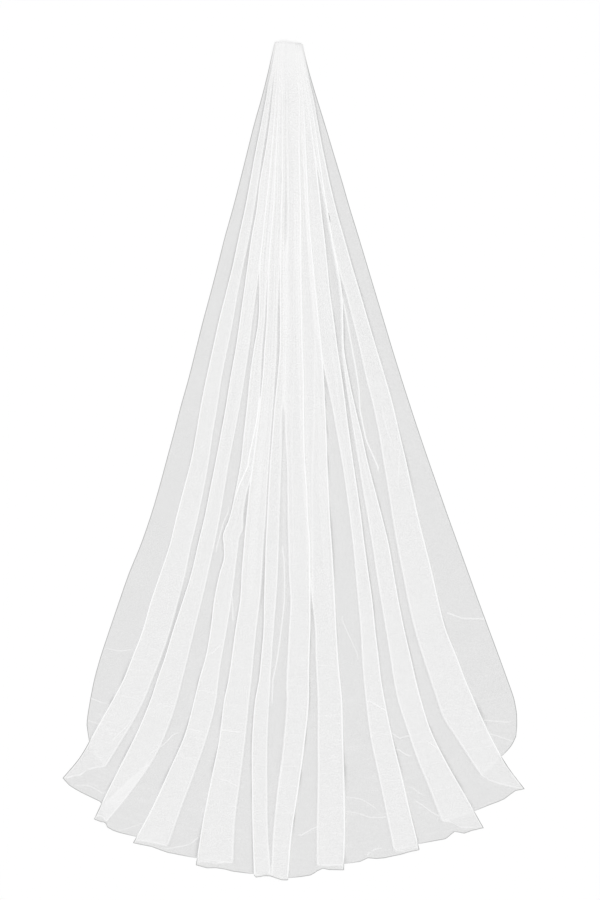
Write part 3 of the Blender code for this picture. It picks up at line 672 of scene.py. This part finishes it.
for strip in range(stripTotal):
    made = plans[strip]
    columns = made["places"].shape[1]
    level = made["height"] + veil["wall"] / 2
    for column in range(columns):
        plan = made["plan"][:, column].copy()
        marks = {name: made[name][:, column] for name in markNames}
        for edge, fold in ((0, strip), (columns - 1, strip + 1)):
            if column == edge and fold in inwards:
                other = plans[fold - 1 if edge == 0 else fold]
                rise = np.abs(other["height"][:, -1 if edge == 0 else 0] - made["height"][:, column])
                plan = plan + inwards[fold] * np.minimum(rise / 2, veil["foldReach"])[:, None]
        points = np.concatenate((plan, level[:, column][:, None]), axis=1)
        addColumn(points, marks)
    if strip + 1 in inwards:
        fold = strip + 1
        lower, upper = level[:, -1], plans[fold]["height"][:, 0] + veil["wall"] / 2
        middle, radius = (lower + upper) / 2, (upper - lower) / 2
        reach = np.minimum(np.abs(radius), veil["foldReach"])
        for step in range(veil["foldSteps"]):
            angle = np.pi * (step + 1) / (veil["foldSteps"] + 1) - np.pi / 2
            plan = made["plan"][:, -1] + inwards[fold] * (reach * (1 - np.cos(angle)))[:, None]
            marks = {name: made[name][:, -1] for name in markNames}
            marks["foldFrom"] = np.zeros(rowTotal)
            marks["clear"] = np.full(rowTotal, -2 * cm)  # a fold is never the lowest layer
            addColumn(np.concatenate((plan, (middle + radius * np.sin(angle))[:, None]), axis=1), marks)

grid = np.stack(columnPoints, axis=1)
columnTotal = grid.shape[1]
flatAcross = np.zeros((rowTotal, columnTotal))
flatAcross[:, 1:] = np.cumsum(np.stack(flatSteps, axis=1), axis=1)
flatAcross = flatAcross - flatAcross[:, -1:] / 2
flatDown = np.zeros((rowTotal, columnTotal))
flatDown[1:] = np.cumsum(np.linalg.norm(np.diff(grid, axis=0), axis=2), axis=0)
points = grid.reshape(-1, 3) * (1, -1, 1) + (0, middleDown, 0)
index = np.arange(rowTotal * columnTotal).reshape(rowTotal, columnTotal)
faces = np.stack((index[:-1, :-1], index[1:, :-1], index[1:, 1:], index[:-1, 1:]), axis=-1).reshape(-1, 4)

sheetMesh = bpy.data.meshes.new("tulleSheet")
sheetMesh.from_pydata(points.tolist(), [], faces.tolist())
clothMap = sheetMesh.uv_layers.new(name="cloth")
loopVertex = np.empty(len(sheetMesh.loops), int)
sheetMesh.loops.foreach_get("vertex_index", loopVertex)
flat = np.stack((flatAcross.ravel(), -flatDown.ravel()), axis=1)
clothMap.data.foreach_set("uv", flat[loopVertex].astype(np.float32).ravel())
for name in markNames:
    layer = sheetMesh.attributes.new(name, "FLOAT", "POINT")
    layer.data.foreach_set("value", np.stack(columnMarks[name], axis=1).ravel().astype(np.float32))
sheetMesh.shade_smooth()
sheetMesh.validate()
sheet = newObject("tulleSheet", sheetMesh)
area = sum(polygon.area for polygon in sheetMesh.polygons)
widest = (flatAcross[:, -1] - flatAcross[:, 0]).max()
print(f"tulle: {rowTotal} rows by {columnTotal} columns, area {area:.3f} m2, widest {widest:.3f} m, "
      f"longest {flatDown.max():.3f} m")

# tulle finish
tulle = {
    "white": 0.87, "rimShadeGray": 0.36, "roughness": 0.85, "sheen": 0.06, "specular": 0.2,
    "coverInLight": (0.62, 0.05),  # how much light the lowest layer stops, and each layer above it
    "netCell": 1.3 * mm, "netSoft": 0.6, "holeCover": 0.30, "threadCover": 0.52,
    "grain": (210, 1, 0.82, 1.18), "cloud": (9, 3, 0.95, 1.05),  # scale, detail, lowest and highest
    # the whiter tone where folds, creases, bends, gathers and wrinkles glow is a painted highlight
    "foldWidth": 7.5 * mm, "foldCover": 0.97, "highlightWhite": 0.97,
    # the gray rim along edges with bare floor beside them is painted shade
    "rimWidth": 3.3 * mm, "rimCore": 0.4, "rimCover": 0.92, "hemWidth": 4.5 * mm,
    "creaseWidth": 5.0 * mm,
    "bend": 0.35, "bendWidth": 4.5 * mm,  # where a strip bends over the fold below it
    "shade": 0.23, "shadeWidth": 8.5 * mm,  # deeper shade on the floor beside a fold
    # two places in m down the veil, and how strong the folds and rims are there
    "foldStart": (0.0, 0.55, 0.3, 1.0), "rimStart": (0.0, 0.12, 0.3, 1.0),
}
# Gathers are bright lines that run along the veil and die away towards the hem: denser, with a painted
# highlight in their tone. A rise or fall is the part of the noise that shows. A start or end is two places in
# m down the veil, and the strength at each.
gathers = {
    "stretch": (3.1, 0.22, 1), "shift": (3.7, 1.3, 0), "rise": (0.50, 0.60), "fall": (0.74, 0.62),
    "start": (0.0, 0.6, 0.35, 1.0), "end": (1.8, 0.25, 0.0, 0.42),
    "fineStretch": (8.5, 0.8, 1), "fineShift": (1.1, 5.2, 0), "fineRise": (0.52, 0.64),
    "fineStart": (0.25, 0.8), "fineEnd": (2.5, 1.2, 0.0, 0.22),
    "panel": (0.9, 6.0),  # how many strips in from each side they begin, and are in full
    "smoothPlace": 14.35,  # the strip between pleats 7 and 8 has few gathers to show
    "smoothReach": (0.3, 0.55, 0.25, 1.0),
    "packed": (0.7, 0.0, 0.0, 0.12), "packedTop": (0.22, 0.0, 0.0, 0.8),  # layers close up towards the top
}
# fine wrinkles run across near the hem, shown as denser lines with a painted highlight
wrinkles = {"stretch": (9, 60, 1), "rise": (0.56, 0.68), "start": (1.9, 2.5, 0.0, 0.09)}


def hexNetGroup():
    # the six-sided net: 1 on the threads, 0 in the holes
    tree, bench = newTree("hexNet", "ShaderNodeTree", (
        ("Vector", "INPUT", "Vector"), ("Cell", "INPUT", "Float"), ("Thread", "OUTPUT", "Float")))
    source = bench.node("NodeGroupInput")
    turn = bench.math("DIVIDE", 2 * np.pi, source.outputs["Cell"])
    total = 0.0
    for angle in (0, np.pi / 3, 2 * np.pi / 3):
        inputs = {0: source.outputs["Vector"], 1: (np.cos(angle), np.sin(angle), 0)}
        dot = bench.node("ShaderNodeVectorMath", inputs, operation="DOT_PRODUCT")
        wave = bench.math("COSINE", bench.times(dot.outputs["Value"], turn))
        total = bench.math("ADD", wave, total)
    bench.node("NodeGroupOutput", {"Thread": bench.ramp(total, tulle["netSoft"], -tulle["netSoft"])})
    return tree


sheetMaterial, bench, shader = newMaterial("white tulle", "Principled")
cloth = bench.node("ShaderNodeUVMap", uv_map="cloth").outputs["UV"]
downVeil = bench.times(bench.node("ShaderNodeSeparateXYZ", {0: cloth}).outputs["Y"], -1.0)
net = bench.node("ShaderNodeGroup", node_tree=hexNetGroup())
bench.feed(net.inputs["Vector"], cloth)
net.inputs["Cell"].default_value = tulle["netCell"]
cover = bench.times(bench.blend(net.outputs["Thread"], tulle["holeCover"], tulle["threadCover"]),
                    bench.uneven(cloth, *tulle["grain"]), bench.uneven(cloth, *tulle["cloud"]))

# gathers
across = bench.mark("across")
lines = bench.place(across, downVeil, 0.0)
panelStart, panelFull = gathers["panel"]
panels = bench.times(bench.ramp(across, panelStart, panelFull),
                     bench.ramp(across, stripTotal - panelStart, stripTotal - panelFull))
streak = bench.noise(lines, 1.0, 0.0, gathers["stretch"], gathers["shift"])
streak = bench.times(bench.ramp(streak, *gathers["rise"]), bench.ramp(streak, *gathers["fall"]),
                     bench.ramp(downVeil, *gathers["end"]), bench.ramp(downVeil, *gathers["start"]), panels)
fine = bench.noise(lines, 1.0, 0.0, gathers["fineStretch"], gathers["fineShift"])
fine = bench.times(bench.ramp(fine, *gathers["fineRise"]), bench.ramp(downVeil, *gathers["fineEnd"]), panels,
                   bench.ramp(downVeil, *gathers["fineStart"]))
besideSmooth = bench.math("ABSOLUTE", bench.math("SUBTRACT", across, gathers["smoothPlace"]))
streak = bench.times(bench.most(streak, fine), bench.ramp(besideSmooth, *gathers["smoothReach"]))
packed = bench.most(bench.times(bench.ramp(downVeil, *gathers["packed"]), panels),
                    bench.ramp(downVeil, *gathers["packedTop"]))


def creaseGlow(run):
    away = bench.math("ABSOLUTE", bench.mark(run + "From"))
    return bench.times(bench.ramp(away, tulle["creaseWidth"], 0.0), bench.mark(run + "Strength"))


def rimShadeOf(edge):
    # painted shade: the darker line of an edge with bare floor beside it
    close = bench.ramp(bench.mark(edge + "From"), tulle["rimWidth"], tulle["rimWidth"] * tulle["rimCore"])
    return bench.times(close, bench.mark(edge + "Rim"))


# folds, creases and bends look denser, and a painted highlight makes them brighter
foldGlow = bench.times(bench.ramp(bench.mark("foldFrom"), tulle["foldWidth"], 0.0),
                       bench.ramp(downVeil, *tulle["foldStart"]))
fill = bench.times(bench.math("GREATER_THAN", bench.mark("alongFrom"), 0.0), bench.mark("alongFill"))
clear = bench.mark("clear")
bend = bench.ramp(bench.math("ABSOLUTE", clear), tulle["bendWidth"], 0.0, 0.0, tulle["bend"])
wrinkle = bench.times(bench.ramp(bench.noise(cloth, 1.0, 2.0, wrinkles["stretch"]), *wrinkles["rise"]),
                      bench.ramp(downVeil, *wrinkles["start"]))
glow = bench.most(foldGlow, creaseGlow("along"), creaseGlow("across"), streak, fill, bend, wrinkle)
cutGlow = bench.ramp(bench.mark("cutFrom"), tulle["hemWidth"], 0.0)
# painted shade along edges with bare floor beside them
rim = bench.times(bench.most(rimShadeOf("fold"), rimShadeOf("cut")), bench.ramp(downVeil, *tulle["rimStart"]))
cover = bench.blend(bench.most(glow, packed), cover, tulle["foldCover"])
cover = bench.blend(cutGlow, cover, tulle["foldCover"])
cover = bench.blend(rim, cover, tulle["rimCover"])
# painted highlight: the tone turns whiter where the sheet glows at folds, creases, bends, gathers and
# wrinkles
tone = bench.blend(glow, tulle["white"], tulle["highlightWhite"])
# painted shade: grayer along edges with bare floor beside them
tone = bench.blend(rim, tone, tulle["rimShadeGray"])

# the camera sees the cover, and light is stopped mostly by the lowest layer
lightPath = bench.node("ShaderNodeLightPath")
lowest = bench.math("GREATER_THAN", clear, 0.0)
shade = bench.ramp(bench.mark("beside"), tulle["shadeWidth"], 0.0, 0.0, tulle["shade"])
lowestCover, upperCover = tulle["coverInLight"]
inLight = bench.blend(lowest, upperCover, bench.math("ADD", shade, lowestCover))
bench.feed(shader.inputs["Base Color"], bench.gray(tone))
bench.feed(shader.inputs["Alpha"], bench.blend(lightPath.outputs["Is Camera Ray"], inLight, cover))
shader.inputs["Roughness"].default_value = tulle["roughness"]
shader.inputs["Sheen Weight"].default_value = tulle["sheen"]
shader.inputs["Specular IOR Level"].default_value = tulle["specular"]
sheetMesh.materials.append(sheetMaterial)
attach(sheet, "root")
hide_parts("panel")
print("tulle: finished")

# stitches that bind the gathered end to the comb
stitch = {
    "count": 27, "thread": 0.35 * mm, "reach": 6.0 * mm, "slant": 2.2 * mm,
    "over": 1.6 * mm,  # how far past the gathered end the thread turns down
    "uneven": 0.22,  # the most that a stitch turns, in radians
    "seed": 7, "from": -5.9, "to": 2.5, "white": 0.9, "roughness": 0.6,
    "heights": (0.99, 1.1, 1.0, 0.12),  # start, two handles and end, in parts of the tulle's height
    "handles": (0.2, 1.3),  # how far out the handles are, in parts of reach and of over
    "curveSteps": 10, "sides": 7, "pathPoints": 60,
}


def gatheredEnd(x):
    # the place of the gathered end at x, and the height of the tulle there
    best = (0, 0)
    for made in plans.values():
        for row in (0, 1):
            columns = np.argsort(made["plan"][row, :, 0])
            across = made["plan"][row, columns, 0]
            if across[0] <= x <= across[-1]:
                height = np.interp(x, across, made["height"][row, columns]) + veil["wall"]
                best = max(best, (height, np.interp(x, across, made["plan"][0, columns, 1])))
    return best


def stitchTree():
    sizes = (("Count", "Int"), ("Thread", "Float"), ("Reach", "Float"), ("Slant", "Float"), ("Over", "Float"),
             ("Uneven", "Float"), ("Seed", "Int"), ("Finish", "Material"))
    tree, bench = newTree("whipStitches", "GeometryNodeTree", (
        ("Geometry", "INPUT", "Geometry"), *((name, "INPUT", kind) for name, kind in sizes),
        ("Geometry", "OUTPUT", "Geometry")))
    given = bench.node("NodeGroupInput").outputs
    line = bench.node("GeometryNodeMeshToCurve", {"Mesh": given["Geometry"]})
    spaced = bench.node("GeometryNodeResampleCurve", {
        "Curve": line.outputs["Curve"], "Count": given["Count"]})
    # one stitch: from the top of the gathers over the end and down, one unit high
    start, startHandle, endHandle, end = stitch["heights"]
    back, out = stitch["handles"]
    loop = bench.node("GeometryNodeCurvePrimitiveBezierSegment", {
        "Resolution": stitch["curveSteps"],
        "Start": bench.place(0.0, bench.times(given["Reach"], -1.0), start),
        "Start Handle": bench.place(0.0, bench.times(given["Reach"], -back), startHandle),
        "End Handle": bench.place(given["Slant"], bench.times(given["Over"], out), endHandle),
        "End": bench.place(given["Slant"], given["Over"], end)})
    lift = bench.node("GeometryNodeInputNamedAttribute", {"Name": "lift"}, data_type="FLOAT")
    turn = bench.node("FunctionNodeRandomValue", {
        2: bench.times(given["Uneven"], -1.0), 3: given["Uneven"], "Seed": given["Seed"]}, data_type="FLOAT")
    copies = bench.node("GeometryNodeInstanceOnPoints", {
        "Points": spaced.outputs["Curve"], "Instance": loop.outputs["Curve"],
        "Rotation": bench.place(0.0, 0.0, turn.outputs[1]), "Scale": bench.place(1.0, 1.0, lift.outputs[0])})
    whole = bench.node("GeometryNodeRealizeInstances", {"Geometry": copies.outputs["Instances"]})
    ring = bench.node("GeometryNodeCurvePrimitiveCircle", {
        "Resolution": stitch["sides"], "Radius": given["Thread"]})
    thread = bench.node("GeometryNodeCurveToMesh", {
        "Curve": whole.outputs["Geometry"], "Profile Curve": ring.outputs["Curve"], "Fill Caps": True})
    solid = bench.node("GeometryNodeRealizeInstances", {"Geometry": thread.outputs["Mesh"]})
    finish = bench.node("GeometryNodeSetMaterial", {
        "Geometry": solid.outputs["Geometry"], "Material": given["Finish"]})
    bench.node("NodeGroupOutput", {"Geometry": finish.outputs["Geometry"]})
    return tree


threadMaterial, bench, shader = newMaterial("stitching thread", "Principled")
place = bench.node("ShaderNodeTexCoord").outputs["Object"]
bench.feed(shader.inputs["Base Color"],
           bench.gray(bench.uneven(place, 900, 2, stitch["white"] - 0.05, stitch["white"])))
bench.feed(shader.inputs["Roughness"],
           bench.uneven(place, 900, 2, stitch["roughness"] + 0.15, stitch["roughness"]))

pathX = np.linspace(stitch["from"], stitch["to"], stitch["pathPoints"]) * cm
pathPlaces = [gatheredEnd(x) for x in pathX]
pathMesh = bpy.data.meshes.new("stitchPath")
pathMesh.from_pydata([(x, middleDown - down, 0) for x, (height, down) in zip(pathX, pathPlaces)],
                     [(i, i + 1) for i in range(len(pathX) - 1)], [])
lifts = pathMesh.attributes.new("lift", "FLOAT", "POINT")
lifts.data.foreach_set("value", [height for height, down in pathPlaces])
guide = newObject("stitchGuide", pathMesh)
stitcher = guide.modifiers.new("stitches", "NODES")
stitcher.node_group = stitchTree()
inputs = {name.capitalize(): stitch[name]
          for name in ("count", "thread", "reach", "slant", "over", "uneven", "seed")}
inputs["Finish"] = threadMaterial
for item in stitcher.node_group.interface.items_tree:
    if item.in_out == "INPUT" and item.name in inputs:
        stitcher[item.identifier] = inputs[item.name]
made = guide.evaluated_get(bpy.context.evaluated_depsgraph_get())
stitchMesh = bpy.data.meshes.new_from_object(made)
guide.modifiers.remove(stitcher)
bpy.data.objects.remove(guide)
stitchMesh.name = "stitches"
stitchMesh.shade_smooth()
stitches = newObject("stitches", stitchMesh)
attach(stitches, "root")
print("stitches:", len(stitchMesh.polygons), "faces")

# clear plastic comb, under the gathered end
combFinish = {"see": 0.55, "ior": 1.49, "tint": (40, 2, 0.86, 0.9), "roughness": (220, 3, 0.16, 0.32)}
combMaterial, bench, shader = newMaterial("clear plastic", "Principled")
place = bench.node("ShaderNodeTexCoord").outputs["Object"]
bench.feed(shader.inputs["Base Color"], bench.gray(bench.uneven(place, *combFinish["tint"])))
bench.feed(shader.inputs["Roughness"], bench.uneven(place, *combFinish["roughness"]))
shader.inputs["IOR"].default_value = combFinish["ior"]
shader.inputs["Alpha"].default_value = combFinish["see"]
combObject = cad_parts["comb"]
combObject.data.materials.clear()
combObject.data.materials.append(combMaterial)
print("comb: finished")
